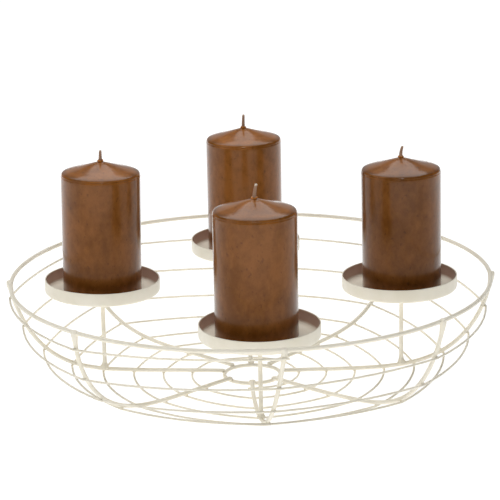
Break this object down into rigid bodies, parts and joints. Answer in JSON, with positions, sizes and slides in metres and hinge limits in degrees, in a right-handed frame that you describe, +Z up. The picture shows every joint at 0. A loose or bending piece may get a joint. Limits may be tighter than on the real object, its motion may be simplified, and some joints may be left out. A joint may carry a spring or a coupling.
{
  "type": "advent wreath",
  "caption": "Wide round wire bowl with raised rimmed candle plates on posts and a pillar candle standing on each plate, for filling with greenery.",
  "frame": {"origin": "bottom centre of the bounding box, under the middle of the hub ring", "axes": "+Z up; the front candle stands towards -Y and the right candle towards +X"},
  "size_m": [0.373, 0.3725, 0.183],
  "materials": {
    "coat": "satin cream powder coat on steel wire and sheet",
    "wax": "brown dipped candle wax with a soft sheen",
    "wick": "waxed cotton braid"
  },
  "bodies": {
    "root": {"top_ring": "coat", "hub_ring": "coat", "rib_front": "coat", "rib_front_right": "coat", "rib_right": "coat", "rib_back_right": "coat", "rib_back": "coat", "rib_back_left": "coat", "rib_left": "coat", "rib_front_left": "coat", "spiral_wire": "coat", "post_front": "coat", "plate_front": "coat", "candle_front": "wax", "wick_front": "wick", "post_right": "coat", "plate_right": "coat", "candle_right": "wax", "wick_right": "wick", "post_back": "coat", "plate_back": "coat", "candle_back": "wax", "wick_back": "wick", "post_left": "coat", "plate_left": "coat", "candle_left": "wax", "wick_left": "wick"}
  },
  "joints": []
}
